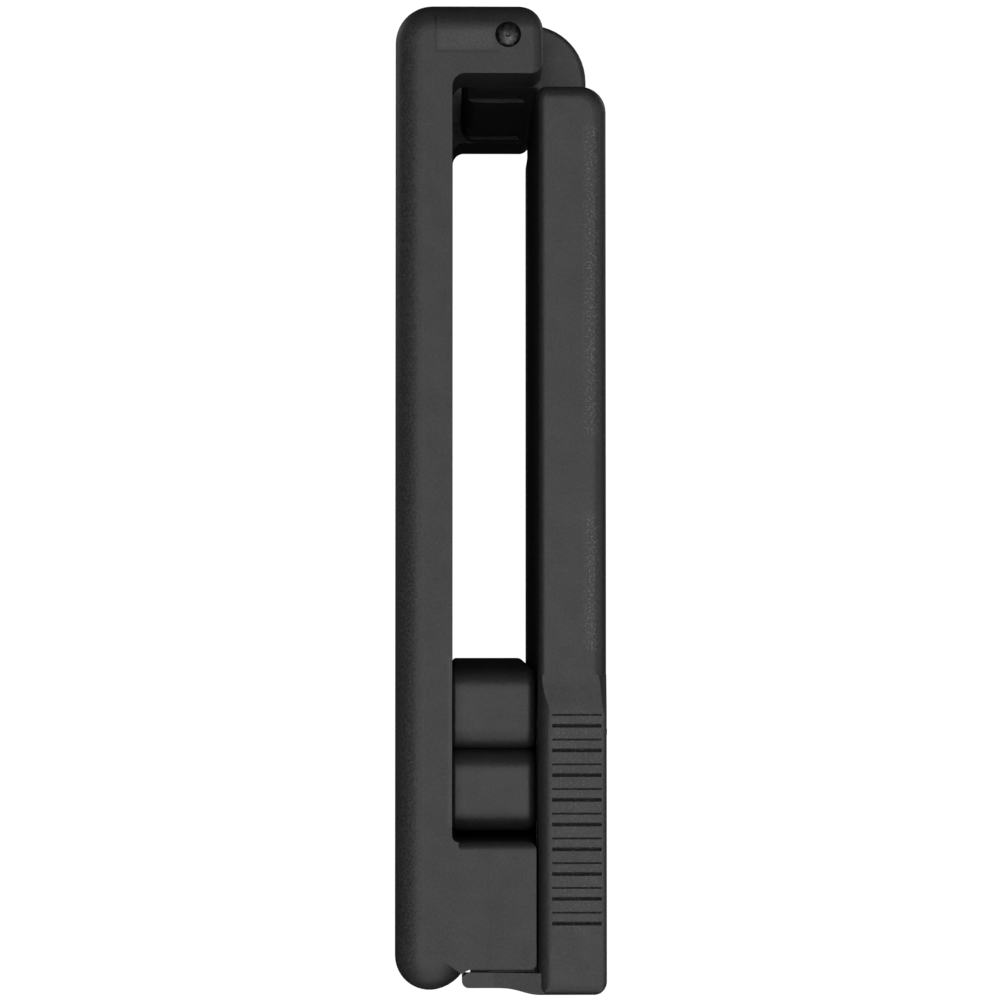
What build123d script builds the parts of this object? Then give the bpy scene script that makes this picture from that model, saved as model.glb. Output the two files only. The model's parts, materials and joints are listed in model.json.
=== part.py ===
from build123d import *
import os

# Hinged belt-clip buckle, in millimetres.
# Origin: centre of the plate's flat outer face. +X runs through the belt towards the lever,
# +Y across the buckle's width, +Z up towards the hinge.

# ---- driving dimensions ----
width = 48.0                # across the flat side faces
half_width = width / 2
sides = [-1, 1]

# main frame: plate, hinge ears and catch block
plate_thickness = 4.4
plate_top = 38.37
plate_side_end = -35.0      # the outer face is straight down to here
plate_corner = 2.9          # outer top corner, seen from the side
plate_roll = 2.1            # rolled edge round the plate's outer face
lobe_low = (3.24, -37.6)    # lowest point of the rounded lower end
lobe_end = (5.2, -36.3)     # where the lower end turns up into the block
ear_reach = 11.4            # outer end of the hinge ears
ear_bottom = 32.9
ear_top_round = 2.07
ear_low_round = 1.0
ear_edge = 0.9
ear_throat = 1.0            # concave corner between plate and ears
ear_gap_half = 16.6         # the ears stand outside this distance from the middle
block_reach = 10.85         # face that the lever closes against
block_top = -26.2
block_bottom = -35.9
block_top_round = 0.6
block_low_round = 0.45
block_side_round = 0.7
block_throat = 0.5          # concave corner between plate and block
hollow_end_x = 5.97         # where the hollow above the rounded end meets the block's underside
guard_low = -37.2           # ribs under the block that shield the latch fingers
guard_left = 6.3
guard_right = 10.94
guard_span = (15.2, 16.9)
core_across_x = (6.2, 9.4)  # blind pockets that even out the block's wall thickness
core_across_y = (1.0, 15.0)
core_depth = 6.0

# hinge
pivot_x = 8.7
pivot_z = 35.9
pin_radius = 1.0
pin_end_depth = 0.08        # the domed pin ends lie this far inside the ear faces
pin_dome = 0.36             # height of the dome
pin_dent = 0.3              # radius of the ball that leaves a small dent near the middle of each end
pin_dent_depth = 0.09
knuckle_bore = 1.05
knuckle_half = 16.4
hump_radius = 4.57
hump_x = 10.4
hump_z = 33.38
hump_left = 5.16
hump_round = 1.3
hump_edge = 0.4             # rounding of the hump's two end faces
knuckle_root = 0.35
knuckle_overlap = 3.0       # how far the hump runs down into the lever
knuckle_pocket_x = (5.66, 10.2)
knuckle_pocket_y = (8.2, 14.4)
knuckle_pocket_depth = 0.3

# clamp lever
lever_inner = 11.0
lever_outer = 16.25
lever_top = 32.0
lever_bottom = -37.9
lever_top_round = 2.0
lever_low_round = 1.1
lever_edge = 1.1            # rounding of the lever's outer edges
lever_inner_edge = 0.6
panel_half = 14.0           # shallow blank panel in the lever's outer face
panel_low = -12.0
panel_high = 25.0
panel_depth = 0.6
panel_corner = 3.0

# squeeze tabs with their grip
tab_top = -17.6
tab_gap = 0.3
tab_inner = 19.5            # distance of a tab's inner wall from the middle
slot_width = 2.5            # room that a tab is squeezed into
slot_top = -15.8
bead_y = 21.4
bead_z = -17.2
bead_radius = 0.9
bead_socket = 1.0
pad_height = 0.32
pad_top = -13.4             # the grip swells up smoothly from here
pad_ramp = 3.0
pad_inner_round = 1.05
pad_edge = 0.35             # rounding of the grip's outer edge
pad_low_round = 0.9         # rounding of the tab's lower end
groove_left = 12.05
groove_right = 15.85
groove_count = 9            # pairs of fine V-grooves
groove_pitch = 1.886
groove_first = -16.45
fine_groove = (0.16, 0.09)  # width and depth of the upper groove of each pair
deep_groove = (0.3, 0.2)    # and of the lower one
deep_groove_drop = 0.83     # distance between the two

# latch: a hooked finger on each tab, in an L-shaped pocket of the block
finger_top = -36.2
finger_tip = 5.16
finger_brow = 0.65          # rounding of the top of the tip
finger_low = -37.38
sweep_start_x = 8.2         # from here the finger's underside sweeps down to the lever's end
finger_outer = 23.4
finger_inner = 19.9
finger_fall = 0.35          # the finger's top slopes down this much towards its inner side
finger_flat = 0.4           # level strip left along the outer side of its top
finger_nose = 0.53          # length of the rounded tip
finger_root = 1.2           # how far the finger runs into the tab
swell_start = 3.4           # the finger widens to the tab's side face over this run before the tab
swell_end = 0.7             # and this run inside it
swell_reach = 23.98
lip_left = 5.8
lip_right = 7.3
lip_near = 19.9
lip_far = 22.4
lip_top = -34.7
pocket_ceiling = -34.0
pocket_left = 5.5
catch_wall = 7.6
pocket_near = 17.0
pocket_far = 22.9
channel_near = 17.3
channel_far = 20.6

# spacers and their screws
spacer_height = 6.35
spacer_half_length = 22.0
spacer_top = -12.85
spacer_corner = 1.75        # round of its ends, seen along the belt
spacer_outer_round = 0.7
spacer_inner_round = 0.3
screw_y = 12.0
screw_hole = 1.6
screw_sink = 3.0
screw_shank = 1.45
screw_bore = 1.5
screw_head = 2.9
screw_length = 9.2
screw_bore_end = 9.6
socket_radius = 0.95
socket_depth = 1.0

# mounting holes in the plate
mount_hole = 2.2
mount_sink = 3.8
mount_y = 19.05
mount_rows_z = [0.0, 12.7, 25.4]


def slab(x_span, y_span, z_span, mode=Mode.ADD):
    """A box between the given pairs of coordinates, in the open part."""
    spans = [x_span, y_span, z_span]
    middle = [(low + high) / 2 for low, high in spans]
    with Locations(tuple(middle)):
        Box(*[abs(high - low) for low, high in spans], mode=mode)


def slab_pair(x_span, y_span, z_span, mode=Mode.ADD):
    """The same box on both sides of the middle plane."""
    for side in sides:
        slab(x_span, (side * y_span[0], side * y_span[1]), z_span, mode)


def side_edges(solid, reach, keep):
    """Edges in the planes y = +-reach whose centre passes the test."""
    chosen = []
    for edge in solid.edges():
        box = edge.bounding_box()
        flat = abs(box.max.Y - box.min.Y) < 1e-4 and abs(abs(box.min.Y) - reach) < 1e-4
        if flat and keep(edge.center()):
            chosen.append(edge)
    return chosen


def corner_cutter(corner_x, corner_z, radius, up):
    """Takes the square corner off along the width, leaving a round of the given radius."""
    start = (corner_x - radius, corner_z)
    end = (corner_x, corner_z - up * radius)
    beyond = (corner_x + 1, corner_z + up)
    with BuildSketch(Plane.XZ) as waste:
        with BuildLine():
            TangentArc(start, end, tangent=(1, 0))
            Polyline(end, (beyond[0], end[1]), beyond, (start[0], beyond[1]), start)
        make_face()
    extrude(waste.sketch, amount=half_width + 1, both=True, mode=Mode.SUBTRACT)


def side_corner_cutter(side, reach, corner_z, radius, up, x_span):
    """Rounds the edge between a side face and an upper or lower face, over the given run of X."""
    on_side = (side * reach, corner_z - up * radius)
    on_end = (side * (reach - radius), corner_z)
    with BuildSketch(Plane.YZ.offset(x_span[0])) as waste:
        with BuildLine():
            TangentArc(on_side, on_end, tangent=(0, up))
            Polyline(on_end, (on_end[0], corner_z + up), (side * (reach + 1), corner_z + up),
                     (side * (reach + 1), on_side[1]), on_side)
        make_face()
    extrude(waste.sketch, amount=x_span[1] - x_span[0], mode=Mode.SUBTRACT)


# ---- main frame ----
with BuildPart() as plate_blank:
    with BuildSketch(Plane.XZ) as plate_outline:
        with BuildLine():
            crown_start = (0, plate_top - plate_corner)
            crown_end = (plate_corner, plate_top)
            block_inside_x = 8.0
            block_inside_z = -28.0
            Line((0, plate_side_end), crown_start)
            TangentArc(crown_start, crown_end, tangent=(0, 1))
            Polyline(
                crown_end,
                (ear_reach, plate_top),
                (ear_reach, ear_bottom),
                (plate_thickness, ear_bottom),
                (plate_thickness, block_inside_z),
                (block_inside_x, block_inside_z),
            )
            lobe = TangentArc((0, plate_side_end), lobe_low, tangent=(0, -1))
            lobe_rise = TangentArc(lobe_low, lobe_end, tangent=lobe % 1)
            rise = lobe_rise % 1
            run = (block_inside_x - lobe_end[0]) / rise.X
            inside_low = (block_inside_x, lobe_end[1] + rise.Y * run)
            Polyline((block_inside_x, block_inside_z), inside_low, lobe_end)
        make_face()
        throat = [v for v in plate_outline.vertices() if abs(v.X - plate_thickness) < 0.01 and v.Y > 0]
        fillet(throat, radius=ear_throat)
    extrude(amount=half_width, both=True)
    fillet(side_edges(plate_blank.part, half_width, lambda c: c.X < 0.01), radius=plate_roll)
    corner_cutter(ear_reach, plate_top, ear_top_round, 1)
    fillet(side_edges(plate_blank.part, half_width, lambda c: c.X > ear_reach - 0.01), radius=ear_edge)
    corner_cutter(ear_reach, ear_bottom, ear_low_round, -1)

with BuildPart() as main_frame:
    add(plate_blank.part)
    with BuildSketch(Plane.XZ) as block_outline:
        with BuildLine():
            TangentArc(lobe_end, (hollow_end_x, block_bottom), tangent=rise)
            throat_start = (plate_thickness + block_throat, block_top)
            throat_end = (plate_thickness, block_top + block_throat)
            Polyline(
                (hollow_end_x, block_bottom),
                (block_reach, block_bottom),
                (block_reach, block_top),
                throat_start,
            )
            TangentArc(throat_start, throat_end, tangent=(-1, 0))
            inside_plate_x = plate_thickness - 1
            Polyline(throat_end, (inside_plate_x, throat_end[1]), (inside_plate_x, plate_side_end), lobe_end)
        make_face()
        fillet(block_outline.vertices().group_by(Axis.X)[-1].sort_by(Axis.Y)[0], radius=block_low_round)
        fillet(block_outline.vertices().group_by(Axis.X)[-1].sort_by(Axis.Y)[-1], radius=block_top_round)
    extrude(amount=half_width, both=True)
    # room for the lever's knuckle
    slab((plate_thickness, ear_reach + 1), (-ear_gap_half, ear_gap_half), (ear_bottom - 1, plate_top + 1),
         Mode.SUBTRACT)
    # latch pockets
    slab_pair((pocket_left, catch_wall), (pocket_near, pocket_far), (block_bottom - 1, pocket_ceiling),
              Mode.SUBTRACT)
    slab_pair((catch_wall - 0.1, block_reach + 1), (channel_near, channel_far),
              (block_bottom - 1, pocket_ceiling), Mode.SUBTRACT)
    # coring pockets under the middle of the block
    slab_pair(core_across_x, core_across_y, (block_bottom - 1, block_bottom + core_depth), Mode.SUBTRACT)
    # ribs that shield the latch fingers
    slab_pair((guard_left, guard_right), guard_span, (guard_low, block_bottom + 0.5))
    # rounded upper edge of the block on each side face
    for side in sides:
        side_corner_cutter(side, half_width, block_top, block_side_round, 1,
                           (plate_thickness + block_throat, block_reach + 1))
    # pin hole through both ears
    with Locations(Plane.XZ.offset(-half_width - 1)):
        with Locations((pivot_x, pivot_z)):
            Cylinder(pin_radius, width + 2, align=(Align.CENTER, Align.CENTER, Align.MIN), mode=Mode.SUBTRACT)
    # mounting holes, sunk from the belt side
    inner_face = Plane(origin=(plate_thickness, 0, 0), x_dir=(0, 1, 0), z_dir=(1, 0, 0))
    outer_face = Plane(origin=(0, 0, 0), x_dir=(0, -1, 0), z_dir=(-1, 0, 0))
    with Locations(inner_face):
        with Locations(*[(side * mount_y, row) for side in sides for row in mount_rows_z]):
            CounterSinkHole(radius=mount_hole, counter_sink_radius=mount_sink, depth=plate_thickness + 1)
    # spacer screw holes, sunk from the outer face
    spacer_middles = [spacer_top - spacer_height * (n + 0.5) for n in range(2)]
    with Locations(outer_face):
        with Locations(*[(side * screw_y, row) for side in sides for row in spacer_middles]):
            CounterSinkHole(radius=screw_hole, counter_sink_radius=screw_sink, depth=plate_thickness)
main_frame.part.label = "main_frame"

# ---- hinge pin ----
pin_tip = half_width - pin_end_depth
with BuildPart() as hinge_pin:
    with BuildSketch(Plane(origin=(pivot_x, 0, pivot_z))) as pin_profile:
        with BuildLine():
            dome_radius = (pin_radius ** 2 + pin_dome ** 2) / (2 * pin_dome)
            dome_half = dome_radius - (dome_radius ** 2 - pin_radius ** 2 / 4) ** 0.5
            for side in sides:
                ThreePointArc(
                    (0, side * pin_tip),
                    (pin_radius / 2, side * (pin_tip - dome_half)),
                    (pin_radius, side * (pin_tip - pin_dome)),
                )
            Line((pin_radius, pin_dome - pin_tip), (pin_radius, pin_tip - pin_dome))
            Line((0, -pin_tip), (0, pin_tip))
        make_face()
    revolve(axis=Axis((pivot_x, 0, pivot_z), (0, 1, 0)))
    with Locations(*[(pivot_x, side * (pin_tip + pin_dent - pin_dent_depth), pivot_z) for side in sides]):
        Sphere(pin_dent, mode=Mode.SUBTRACT)
hinge_pin.part.label = "hinge_pin"


# ---- belt-width spacers and their screws ----
def make_spacer(top, name):
    with BuildPart() as spacer:
        middle = top - spacer_height / 2
        with BuildSketch(Plane(origin=(plate_thickness, 0, middle), x_dir=(0, 1, 0), z_dir=(1, 0, 0))):
            RectangleRounded(2 * spacer_half_length, spacer_height, spacer_corner)
        extrude(amount=block_reach - plate_thickness)
        fillet(spacer.faces().sort_by(Axis.X)[-1].edges(), radius=spacer_outer_round)
        fillet(spacer.faces().sort_by(Axis.X)[0].edges(), radius=spacer_inner_round)
        with Locations(Plane(origin=(plate_thickness, 0, middle), x_dir=(0, 1, 0), z_dir=(1, 0, 0))):
            with Locations((-screw_y, 0), (screw_y, 0)):
                Cylinder(screw_bore, screw_bore_end - plate_thickness,
                         align=(Align.CENTER, Align.CENTER, Align.MIN), mode=Mode.SUBTRACT)
    spacer.part.label = name
    return spacer


def make_screw_pair(middle, name):
    with BuildPart() as screws:
        outer = Plane(origin=(0, 0, middle), x_dir=(0, 1, 0), z_dir=(1, 0, 0))
        with Locations(outer):
            with Locations((-screw_y, 0), (screw_y, 0)):
                Cone(screw_head, screw_shank, screw_head - screw_shank,
                     align=(Align.CENTER, Align.CENTER, Align.MIN))
                Cylinder(screw_shank, screw_length, align=(Align.CENTER, Align.CENTER, Align.MIN))
                Cylinder(socket_radius, socket_depth, align=(Align.CENTER, Align.CENTER, Align.MIN),
                         mode=Mode.SUBTRACT)
    screws.part.label = name
    return screws


upper_spacer = make_spacer(spacer_top, "upper_spacer")
lower_spacer = make_spacer(spacer_top - spacer_height, "lower_spacer")
upper_spacer_screws = make_screw_pair(spacer_middles[0], "upper_spacer_screws")
lower_spacer_screws = make_screw_pair(spacer_middles[1], "lower_spacer_screws")

# ---- clamp lever and squeeze tabs, shaped as one blank and then parted ----
with BuildPart() as lever_blank:
    with BuildSketch(Plane.XZ) as lever_outline:
        with Locations(((lever_inner + lever_outer) / 2, (lever_top + lever_bottom) / 2)):
            Rectangle(lever_outer - lever_inner, lever_top - lever_bottom)
        fillet(lever_outline.vertices().group_by(Axis.X)[-1].sort_by(Axis.Y)[-1], radius=lever_top_round)
        fillet(lever_outline.vertices().sort_by(Axis.Y)[:2].sort_by(Axis.X)[-1], radius=lever_low_round)
    extrude(amount=half_width, both=True)
    fillet(side_edges(lever_blank.part, half_width, lambda c: c.X > lever_outer - 0.01), radius=lever_edge)
    fillet(side_edges(lever_blank.part, half_width, lambda c: c.X < lever_inner + 0.01),
           radius=lever_inner_edge)


def rounded_corner(reach, radius):
    """Distance from the origin to the lever's outer corner, along the diagonal, with the given round."""
    return (lever_outer + reach - 2 * radius) / 2 ** 0.5 + radius


def make_grip_pad(side):
    """The raised grip on one side face, with its grooves."""
    reach = half_width + pad_height
    with BuildPart() as pad:
        with BuildSketch(Plane.XZ.offset(-side * tab_inner)) as pad_outline:
            with Locations(((lever_inner + lever_outer) / 2, (pad_top + lever_bottom) / 2)):
                Rectangle(lever_outer - lever_inner, pad_top - lever_bottom)
            fillet(pad_outline.vertices().sort_by(Axis.Y)[:2].sort_by(Axis.X)[-1], radius=lever_low_round)
        extrude(pad_outline.sketch, amount=-side * (reach - tab_inner))
        fillet(side_edges(pad.part, reach, lambda c: c.X > lever_outer - 0.01), radius=pad_edge)
        fillet(side_edges(pad.part, reach, lambda c: c.X < lever_inner + 0.01), radius=pad_inner_round)
        # smooth swell at the upper end
        with BuildSketch(Plane.YZ.offset(lever_inner - 1)) as swell_waste:
            with BuildLine():
                swell_top = (side * half_width, pad_top)
                swell_low = (side * reach, pad_top - pad_ramp)
                Spline(swell_top, swell_low, tangents=((0, -1), (0, -1)))
                Polyline(swell_low, (side * (reach + 1), swell_low[1]), (side * (reach + 1), pad_top + 1),
                         (side * half_width, pad_top + 1), swell_top)
            make_face()
        extrude(swell_waste.sketch, amount=lever_outer - lever_inner + 2, mode=Mode.SUBTRACT)
        # the outer corner of the swell, trimmed to run into the lever's rounded edge
        diagonal = Plane(origin=(0, 0, 0), x_dir=(1, side, 0), z_dir=(side, -1, 0))
        with BuildSketch(diagonal) as trim:
            with BuildLine():
                Polyline(
                    (rounded_corner(half_width, lever_edge), pad_top),
                    (rounded_corner(reach, pad_edge), pad_top - pad_ramp),
                    (reach * 2, pad_top - pad_ramp),
                    (reach * 2, pad_top),
                    close=True,
                )
            make_face()
        extrude(trim.sketch, amount=half_width, both=True, mode=Mode.SUBTRACT)
        for index in range(groove_count):
            upper = groove_first - index * groove_pitch
            for middle, (gap, depth) in ((upper, fine_groove), (upper - deep_groove_drop, deep_groove)):
                with BuildSketch(Plane.YZ.offset(groove_left)) as groove:
                    with BuildLine():
                        Polyline(
                            (side * reach, middle + gap / 2),
                            (side * (reach - depth), middle),
                            (side * reach, middle - gap / 2),
                            (side * (reach + 1), middle),
                            close=True,
                        )
                    make_face()
                extrude(groove.sketch, amount=groove_right - groove_left, mode=Mode.SUBTRACT)
    return pad


pads = {side: make_grip_pad(side) for side in sides}

with BuildPart() as clamp_lever:
    add(lever_blank.part)
    for side in sides:
        add(pads[side].part)
    # knuckle between the ears: a half-round hump, flat underneath
    with BuildSketch(Plane.XZ) as knuckle_outline:
        with BuildLine():
            crest = (hump_x, hump_z + hump_radius)
            shoulder = (hump_x + hump_radius, hump_z)
            TangentArc(crest, shoulder, tangent=(1, 0))
            Polyline(
                shoulder,
                (shoulder[0], lever_top - knuckle_overlap),
                (lever_inner, lever_top - knuckle_overlap),
                (lever_inner, ear_bottom),
                (hump_left, ear_bottom),
                (hump_left, crest[1]),
                crest,
            )
        make_face()
        left_corners = knuckle_outline.vertices().group_by(Axis.X)[0]
        fillet(left_corners, radius=hump_round)
        root_corner = [v for v in knuckle_outline.vertices()
                       if abs(v.X - lever_inner) < 0.01 and abs(v.Y - ear_bottom) < 0.01]
        fillet(root_corner, radius=knuckle_root)
    extrude(knuckle_outline.sketch, amount=knuckle_half, both=True)
    with Locations(Plane(origin=(pivot_x, 0, pivot_z), z_dir=(0, -1, 0))):
        Cylinder(knuckle_bore, width, mode=Mode.SUBTRACT)
    fillet(side_edges(clamp_lever.part, knuckle_half, lambda c: c.X > hump_x and c.Z > hump_z), radius=hump_edge)
    slab_pair(knuckle_pocket_x, knuckle_pocket_y, (ear_bottom - 0.1, ear_bottom + knuckle_pocket_depth),
              Mode.SUBTRACT)
    # blank panel in the outer face
    outer_plane = Plane(origin=(lever_outer, 0, (panel_low + panel_high) / 2), x_dir=(0, 1, 0), z_dir=(1, 0, 0))
    with BuildSketch(outer_plane) as panel:
        RectangleRounded(2 * panel_half, panel_high - panel_low, panel_corner)
    extrude(panel.sketch, amount=-panel_depth, mode=Mode.SUBTRACT)
    # the tabs are parted off by a slot beside each, and turn in a round socket
    tab_near = tab_inner - slot_width
    slab_pair((lever_inner - 1, lever_outer + 1), (tab_near, tab_inner), (lever_bottom - 1, slot_top),
              Mode.SUBTRACT)
    slab_pair((lever_inner - 1, lever_outer + 1), (tab_inner - 0.1, half_width + 1), (lever_bottom - 1, tab_top),
              Mode.SUBTRACT)
    for side in sides:
        with Locations(Plane(origin=(0, side * bead_y, bead_z), z_dir=(1, 0, 0))):
            Cylinder(bead_socket, lever_outer + 1, align=(Align.CENTER, Align.CENTER, Align.MIN),
                     mode=Mode.SUBTRACT)
clamp_lever.part.label = "clamp_lever"


def make_finger(side):
    """The latch finger under the block: rounded tip, swept underside, outer face widening to the tab."""
    root = lever_inner + finger_root
    with BuildPart() as finger:
        with BuildSketch(Plane.XZ.offset(-side * finger_inner)) as finger_outline:
            with BuildLine():
                tip_low = (finger_tip + finger_nose, finger_low)
                sweep_start = (sweep_start_x, finger_low)
                sweep_end = (lever_inner + finger_root / 3, lever_bottom)
                brow_start = (finger_tip + finger_brow, finger_top)
                brow_end = (finger_tip, finger_top - finger_brow)
                Polyline((root, lever_bottom), (root, finger_top), brow_start)
                TangentArc(brow_start, brow_end, tangent=(-1, 0))
                TangentArc(brow_end, tip_low, tangent=(0, -1))
                Line(tip_low, sweep_start)
                Spline(sweep_start, sweep_end, tangents=((1, 0), (1, 0)))
                Line(sweep_end, (root, lever_bottom))
            make_face()
        extrude(finger_outline.sketch, amount=-side * (swell_reach - finger_inner))
        # outer face, seen from below
        with BuildSketch(Plane.XY.offset(lever_bottom - 1)) as outer_waste:
            with BuildLine():
                Polyline(
                    (finger_tip - 1, side * finger_outer),
                    (lever_inner - swell_start, side * finger_outer),
                    (lever_inner + swell_end, side * swell_reach),
                    (lever_inner + swell_end, side * (swell_reach + 1)),
                    (finger_tip - 1, side * (swell_reach + 1)),
                    close=True,
                )
            make_face()
        extrude(outer_waste.sketch, amount=finger_top - lever_bottom + 2, mode=Mode.SUBTRACT)
        # sloping top
        with BuildSketch(Plane.YZ.offset(finger_tip - 1)) as finger_slope:
            with BuildLine():
                Polyline(
                    (side * (finger_outer - finger_flat), finger_top),
                    (side * (finger_inner - 1), finger_top + finger_fall / 2),
                    (side * (finger_inner - 1), finger_top - finger_fall),
                    (side * finger_inner, finger_top - finger_fall),
                    close=True,
                )
            make_face()
        extrude(finger_slope.sketch, amount=lever_inner - finger_tip + 1, mode=Mode.SUBTRACT)
    return finger


def make_release_tab(side, name):
    """One squeeze tab: the lower corner of the lever with a hinge bead and a latch finger."""
    def across(near, far):
        return (side * near, side * far)

    with BuildPart() as tab:
        add(lever_blank.part)
        add(pads[side].part)
        slab((lever_inner - 1, lever_outer + 1), across(tab_inner, half_width + 1),
             (lever_bottom - 1, tab_top - tab_gap), Mode.INTERSECT)
        with Locations(Plane(origin=(lever_inner + lever_inner_edge, side * bead_y, bead_z), z_dir=(1, 0, 0))):
            Cylinder(bead_radius, lever_outer - lever_inner - lever_inner_edge - lever_edge,
                     align=(Align.CENTER, Align.CENTER, Align.MIN))
        add(make_finger(side).part)
        slab((lip_left, lip_right), across(lip_near, lip_far), (finger_top - 0.5, lip_top))
        side_corner_cutter(side, half_width + pad_height, lever_bottom, pad_low_round, -1,
                           (finger_tip - 1, lever_outer + 1))
    tab.part.label = name
    return tab


release_tab_left = make_release_tab(-1, "release_tab_left")
release_tab_right = make_release_tab(1, "release_tab_right")

pieces = [
    main_frame,
    hinge_pin,
    upper_spacer,
    lower_spacer,
    upper_spacer_screws,
    lower_spacer_screws,
    clamp_lever,
    release_tab_left,
    release_tab_right,
]
os.makedirs("parts", exist_ok=True)
for piece in pieces:
    export_step(piece.part, "parts/" + piece.part.label + ".step")
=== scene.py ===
import bmesh
import bpy
import json
import math
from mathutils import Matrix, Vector


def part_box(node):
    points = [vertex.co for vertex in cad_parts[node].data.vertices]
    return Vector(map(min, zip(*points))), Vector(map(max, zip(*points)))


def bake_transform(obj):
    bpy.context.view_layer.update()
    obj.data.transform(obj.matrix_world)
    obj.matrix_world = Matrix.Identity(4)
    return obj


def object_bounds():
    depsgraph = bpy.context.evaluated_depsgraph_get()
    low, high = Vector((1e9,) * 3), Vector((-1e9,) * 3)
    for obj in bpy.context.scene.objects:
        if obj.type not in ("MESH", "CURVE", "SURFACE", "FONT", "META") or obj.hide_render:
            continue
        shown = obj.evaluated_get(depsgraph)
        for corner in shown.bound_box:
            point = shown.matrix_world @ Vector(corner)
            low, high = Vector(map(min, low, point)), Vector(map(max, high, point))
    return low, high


MM = 0.001
FRONT_FILL = 0.14           # strength of the room's fill light from the front and the sides
BACK_FILL = 0.012           # and from behind
FLOOR_POWER = 2.6           # watts of the light thrown back up by the table
FRONT_POWER = 9.4           # watts of the large softbox in front
SIDE_POWER = 1.3            # watts of the softbox on the lever's side
BACK_POWER = 1.6            # watts of each softbox behind
WHITE = 1.05                # brightness of the room and the floor as the camera sees them

# the plastic's pattern sizes, in millimetres
GRAIN_SIZE = 0.22
DRIFT_SIZE = 2.2
SPECK_SIZE = 0.16

# the skin over a tab's seam, in millimetres
GRIP_WIDTH = 5.25           # of the tab's grip, across its side face
GRIP_INNER_ROUND = 1.05     # of the grip's edge towards the belt
GRIP_OUTER_ROUND = 0.35     # of the grip's outer edge
SKIN_END = 19.55            # from the middle plane, beside the slot
SKIN_LIFT = 0.002           # of the skin's underside above the grip
SKIN_TOP = 0.02             # of its outer face above the grip
SEAM_DROP = 0.55            # of the seam below the tab's joint
SKIN_HALF = 0.23            # half the skin's height
ROUND_STEPS = 6

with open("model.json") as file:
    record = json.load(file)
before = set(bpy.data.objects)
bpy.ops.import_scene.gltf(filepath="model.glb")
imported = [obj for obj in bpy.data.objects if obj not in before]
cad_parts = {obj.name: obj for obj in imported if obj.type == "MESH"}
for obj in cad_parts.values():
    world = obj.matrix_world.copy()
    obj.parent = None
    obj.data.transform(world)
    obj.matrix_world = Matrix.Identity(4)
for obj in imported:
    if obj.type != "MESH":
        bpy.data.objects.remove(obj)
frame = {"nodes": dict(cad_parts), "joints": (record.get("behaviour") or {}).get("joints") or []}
cad_low, cad_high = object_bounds()
nodes = frame["nodes"]


# ---- camera ----
def add_camera():
    """Looks along the hinge axis at the near side face, from a little below the middle."""
    place = Vector((4.63, -286.0, -7.65)) * MM
    target = Vector((8.07, -24.0, 0.0)) * MM
    data = bpy.data.cameras.new("camera")
    data.lens = 123.0
    data.sensor_width = 36.0
    data.clip_start = 0.01
    data.clip_end = 20.0
    camera = bpy.data.objects.new("camera", data)
    camera.location = place
    camera.rotation_euler = (target - place).to_track_quat("-Z", "Y").to_euler()
    bpy.context.scene.collection.objects.link(camera)
    bpy.context.scene.camera = camera


# ---- studio ----
def add_softbox(name, place, size, power):
    """A square softbox that faces the part's middle."""
    data = bpy.data.lights.new(name, "AREA")
    data.shape = "SQUARE"
    data.size = size
    data.energy = power
    light = bpy.data.objects.new(name, data)
    light.location = Vector(place)
    light.rotation_euler = (-Vector(place)).to_track_quat("-Z", "Y").to_euler()
    bpy.context.scene.collection.objects.link(light)


def ranged(tree, value, low, high, to_low, to_high):
    """The value, taken from the range low to high into the range to_low to to_high."""
    node = tree.nodes.new("ShaderNodeMapRange")
    limits = {"From Min": low, "From Max": high, "To Min": to_low, "To Max": to_high}
    for key, number in limits.items():
        node.inputs[key].default_value = number
    tree.links.new(value, node.inputs["Value"])
    return node.outputs["Result"]


def seen_as(tree, seen, otherwise, surface):
    """The camera sees one shader on the surface, and every other ray meets the other."""
    path = tree.nodes.new("ShaderNodeLightPath")
    mix = tree.nodes.new("ShaderNodeMixShader")
    tree.links.new(path.outputs["Is Camera Ray"], mix.inputs["Fac"])
    tree.links.new(otherwise.outputs[0], mix.inputs[1])
    tree.links.new(seen.outputs[0], mix.inputs[2])
    tree.links.new(mix.outputs[0], surface)


def add_world():
    """White to the camera; as a light it is a dim fill, mostly from the front and the sides."""
    world = bpy.data.worlds.new("studio")
    bpy.context.scene.world = world
    world.use_nodes = True
    tree = world.node_tree
    tree.nodes.clear()
    output = tree.nodes.new("ShaderNodeOutputWorld")
    white = tree.nodes.new("ShaderNodeBackground")
    white.inputs["Color"].default_value = (1, 1, 1, 1)
    white.inputs["Strength"].default_value = WHITE
    glow = tree.nodes.new("ShaderNodeBackground")
    glow.inputs["Color"].default_value = (1, 1, 1, 1)
    coordinates = tree.nodes.new("ShaderNodeTexCoord")
    split = tree.nodes.new("ShaderNodeSeparateXYZ")
    tree.links.new(coordinates.outputs["Generated"], split.inputs[0])
    fill = ranged(tree, split.outputs["Y"], -0.3, 0.3, FRONT_FILL, BACK_FILL)
    tree.links.new(fill, glow.inputs["Strength"])
    seen_as(tree, white, glow, output.inputs["Surface"])


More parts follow.
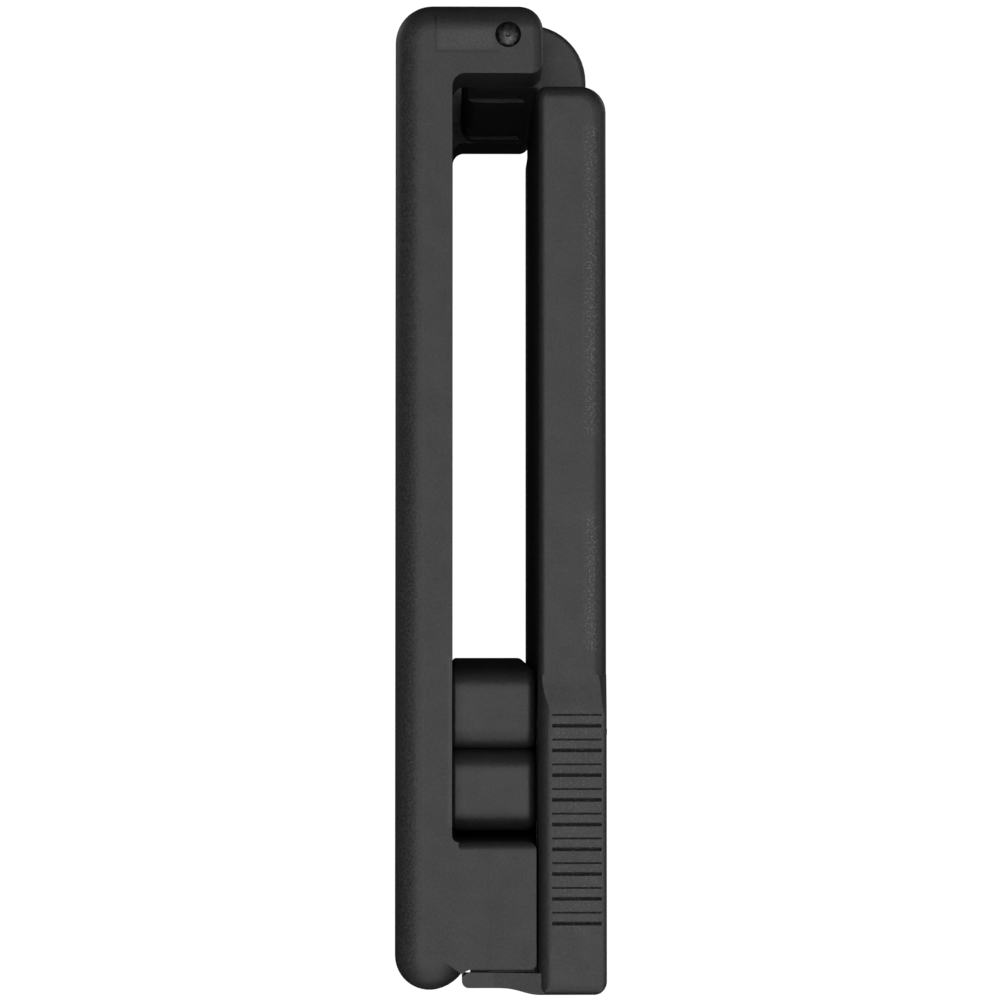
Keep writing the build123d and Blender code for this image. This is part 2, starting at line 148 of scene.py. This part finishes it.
def add_floor():
    """A plain pale floor just under the part, as white as the room; it lets the low light through."""
    half = 2.0
    height = cad_low.z - 0.02 * MM
    corners = [(x * half, y * half, height) for x, y in ((-1, -1), (1, -1), (1, 1), (-1, 1))]
    mesh = bpy.data.meshes.new("floor")
    mesh.from_pydata(corners, [], [(0, 1, 2, 3)])
    floor = bpy.data.objects.new("floor", mesh)
    bpy.context.scene.collection.objects.link(floor)
    material = bpy.data.materials.new("floor_white")
    material.use_nodes = True
    tree = material.node_tree
    tree.nodes.remove(tree.nodes["Principled BSDF"])
    clear = tree.nodes.new("ShaderNodeBsdfTransparent")
    glow = tree.nodes.new("ShaderNodeEmission")
    glow.inputs["Strength"].default_value = WHITE
    seen_as(tree, glow, clear, tree.nodes["Material Output"].inputs["Surface"])
    mesh.materials.append(material)


# ---- materials ----
class Shader:
    """Builds one node material in object coordinates, in metres."""

    def __init__(self, name):
        self.material = bpy.data.materials.new(name)
        self.material.use_nodes = True
        self.tree = self.material.node_tree
        self.principled = self.tree.nodes["Principled BSDF"]
        self.coordinates = self.tree.nodes.new("ShaderNodeTexCoord").outputs["Object"]

    def link(self, source, target):
        self.tree.links.new(source, target)

    def noise(self, grain, detail=2.0, roughness=0.5):
        """Noise whose features are about grain metres across."""
        node = self.tree.nodes.new("ShaderNodeTexNoise")
        node.inputs["Scale"].default_value = 1.0 / grain
        node.inputs["Detail"].default_value = detail
        node.inputs["Roughness"].default_value = roughness
        self.link(self.coordinates, node.inputs["Vector"])
        return node.outputs["Fac"]

    def ranged(self, value, low, high, to_low=0.0, to_high=1.0):
        return ranged(self.tree, value, low, high, to_low, to_high)

    def product(self, first, second):
        node = self.tree.nodes.new("ShaderNodeMath")
        node.operation = "MULTIPLY"
        self.link(first, node.inputs[0])
        self.link(second, node.inputs[1])
        return node.outputs[0]

    def mixed(self, factor, first, second):
        """A colour mix; first and second are colours or sockets."""
        node = self.tree.nodes.new("ShaderNodeMix")
        node.data_type = "RGBA"
        self.link(factor, node.inputs["Factor"])
        for socket, value in zip((node.inputs[6], node.inputs[7]), (first, second)):
            if isinstance(value, tuple):
                socket.default_value = value
            else:
                self.link(value, socket)
        return node.outputs[2]

    def bump(self, height, depth):
        node = self.tree.nodes.new("ShaderNodeBump")
        node.inputs["Distance"].default_value = depth
        node.inputs["Strength"].default_value = 1.0
        self.link(height, node.inputs["Height"])
        return node.outputs["Normal"]


def grey(value):
    return (value, value, value, 1.0)


def moulded_plastic(name, tone, rough, marks=()):
    """Matt black nylon: fine spark-eroded grain, slow tone drift from moulding, light and dark specks.
    Each mark is (x span, z span, edge softness, speck threshold, tone factor), in millimetres. A higher
    threshold leaves fewer specks, and one below zero fills the whole mark."""
    shader = Shader(name)
    grain = shader.noise(GRAIN_SIZE * MM, detail=3.0, roughness=0.6)
    drift = shader.noise(DRIFT_SIZE * MM, detail=4.0, roughness=0.6)
    cloud = shader.mixed(shader.ranged(drift, 0.3, 0.7), grey(tone * 0.9), grey(tone * 1.08))
    dark = shader.mixed(shader.ranged(grain, 0.3, 0.5, 1.0, 0.0), cloud, grey(tone * 0.66))
    fine = shader.mixed(shader.ranged(grain, 0.5, 0.72), dark, grey(tone * 1.5))
    if marks:
        split = shader.tree.nodes.new("ShaderNodeSeparateXYZ")
        shader.link(shader.coordinates, split.inputs[0])
        specks = shader.noise(SPECK_SIZE * MM, detail=2.0, roughness=0.7)
    for x_span, z_span, soft, threshold, factor in marks:
        amount = shader.ranged(specks, threshold, threshold + 0.1)
        for axis, (low, high) in (("X", x_span), ("Z", z_span)):
            value = split.outputs[axis]
            rise = shader.ranged(value, (low - soft) * MM, (low + soft) * MM)
            fall = shader.ranged(value, (high - soft) * MM, (high + soft) * MM, 1.0, 0.0)
            amount = shader.product(amount, shader.product(rise, fall))
        fine = shader.mixed(amount, fine, grey(tone * factor))
    shader.link(fine, shader.principled.inputs["Base Color"])
    shader.link(shader.ranged(drift, 0.3, 0.7, rough - 0.04, rough + 0.04),
                shader.principled.inputs["Roughness"])
    shader.link(shader.bump(grain, 0.02 * MM), shader.principled.inputs["Normal"])
    return shader.material


def blackened_steel(name, tone, rough):
    """Dark steel with worn brighter patches and a little grain."""
    shader = Shader(name)
    shader.principled.inputs["Metallic"].default_value = 1.0
    pattern = shader.noise(0.3 * MM, detail=3.0)
    wear = shader.mixed(shader.ranged(pattern, 0.45, 0.7), grey(tone), grey(tone * 2.2))
    shader.link(wear, shader.principled.inputs["Base Color"])
    shader.link(shader.ranged(pattern, 0.3, 0.7, rough - 0.08, rough + 0.08),
                shader.principled.inputs["Roughness"])
    shader.link(shader.bump(pattern, 0.01 * MM), shader.principled.inputs["Normal"])
    return shader.material


def dress(name, material):
    slots = nodes[name].data.materials
    slots.clear()
    slots.append(material)


# ---- thin roots where the squeeze tabs bend ----
def grip_outline(outer, reach):
    """The tab's section round its two rounded edges, from the inner one to the slot, as (x, y)."""
    rounds = ((outer - GRIP_WIDTH + GRIP_INNER_ROUND, GRIP_INNER_ROUND, 180),
              (outer - GRIP_OUTER_ROUND, GRIP_OUTER_ROUND, 90))
    outline = []
    for middle, radius, first in rounds:
        for step in range(ROUND_STEPS + 1):
            turn = math.radians(first - 90 * step / ROUND_STEPS)
            outline.append((middle + radius * math.cos(turn), reach - radius + radius * math.sin(turn)))
    outline.append((outer, SKIN_END))
    return outline


def skin_mesh(name, outline, side, seam):
    """A closed strip that follows the outline, a skin's thickness deep."""
    vertices = []
    for height in (seam + SKIN_HALF, seam - SKIN_HALF):
        for index, (x, y) in enumerate(outline):
            before = outline[max(index - 1, 0)]
            after = outline[min(index + 1, len(outline) - 1)]
            along = Vector((after[0] - before[0], after[1] - before[1])).normalized()
            for offset in (SKIN_LIFT, SKIN_TOP):
                place = (x - along.y * offset, side * (y + along.x * offset), height)
                vertices.append(Vector(place) * MM)
    ring = 2 * len(outline)
    faces = []
    for start in range(0, ring - 2, 2):
        near, far = start, start + 2
        low_near, low_far = near + ring, far + ring
        faces.append((near + 1, far + 1, low_far + 1, low_near + 1))
        faces.append((near, low_near, low_far, far))
        faces.append((near, far, far + 1, near + 1))
        faces.append((low_near, low_near + 1, low_far + 1, low_far))
    for first in (0, ring - 2):
        faces.append((first, first + 1, first + ring + 1, first + ring))
    mesh = bpy.data.meshes.new(name)
    mesh.from_pydata(vertices, [], faces)
    bm = bmesh.new()
    bm.from_mesh(mesh)
    bmesh.ops.recalc_face_normals(bm, faces=bm.faces)
    bm.to_mesh(mesh)
    bm.free()
    return mesh


def add_root(side, tab, joint):
    """The thin skin over the seam between the lever and a squeeze tab."""
    low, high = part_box(tab)
    outer = high.x / MM
    reach = max(abs(low.y), abs(high.y)) / MM
    seam = joint["pos_m"][2] / MM - SEAM_DROP
    mesh = skin_mesh(tab + "_root", grip_outline(outer, reach), side, seam)
    mesh.materials.append(lever_plastic)
    root = bpy.data.objects.new(tab + "_root", mesh)
    bpy.context.scene.collection.objects.link(root)
    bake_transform(root)


add_camera()
add_world()
add_floor()
softboxes = [
    ("front_softbox", (0.02, -1.3, 0.0), 1.2, FRONT_POWER),
    ("side_softbox", (0.9, -0.45, 0.1), 0.6, SIDE_POWER),
    ("floor_bounce", (0.03, -0.5, -0.7), 0.8, FLOOR_POWER),
    ("back_softbox_right", (0.9, 0.8, 0.5), 0.6, BACK_POWER),
    ("back_softbox_left", (-0.9, 0.8, 0.5), 0.6, BACK_POWER),
]
for name, place, size, power in softboxes:
    add_softbox(name, place, size, power)

frame_marks = [
    ((3.04, 3.2), (34.6, 37.4), 0.06, -1.0, 0.05),       # outline of a mould insert on the ears
    ((3.2, 8.0), (34.5, 34.66), 0.06, 0.3, 0.1),         # the outline's lower line
    ((3.3, 7.6), (34.8, 36.2), 0.25, 0.4, 2.4),          # rubbed patch inside it
    ((4.1, 4.5), (-25.0, -12.0), 0.12, 0.3, 1.8),        # painted highlight along the plate's inner edge beside the spacers
    ((-0.1, 1.8), (-36.0, 37.0), 0.7, 0.47, 2.4),        # rubbed specks along the rolled edge
]
lever_marks = [
    ((14.6, 15.5), (5.0, 29.0), 0.3, 0.52, 5.5),         # scuffs along the outer edge
    ((14.6, 15.5), (-11.5, -1.0), 0.3, 0.52, 5.5),
    ((12.0, 15.9), (-33.0, -16.0), 0.4, 0.56, 4.0),      # rubbed grip
]
frame_plastic = moulded_plastic("frame_plastic", 0.017, 0.5, frame_marks)
lever_plastic = moulded_plastic("lever_plastic", 0.017, 0.48, lever_marks)
spacer_plastic = moulded_plastic("spacer_plastic", 0.014, 0.46)
pin_steel = blackened_steel("pin_steel", 0.06, 0.4)
screw_steel = blackened_steel("screw_steel", 0.05, 0.42)

dress("main_frame", frame_plastic)
for name in ("clamp_lever", "release_tab_left", "release_tab_right"):
    dress(name, lever_plastic)
for name in ("upper_spacer", "lower_spacer"):
    dress(name, spacer_plastic)
dress("hinge_pin", pin_steel)
for name in ("upper_spacer_screws", "lower_spacer_screws"):
    dress(name, screw_steel)

joints = {joint["name"]: joint for joint in frame["joints"]}
for side, hand in ((-1, "left"), (1, "right")):
    add_root(side, "release_tab_" + hand, joints[hand + "_tab_squeeze"])

bpy.context.scene.view_settings.view_transform = "Standard"
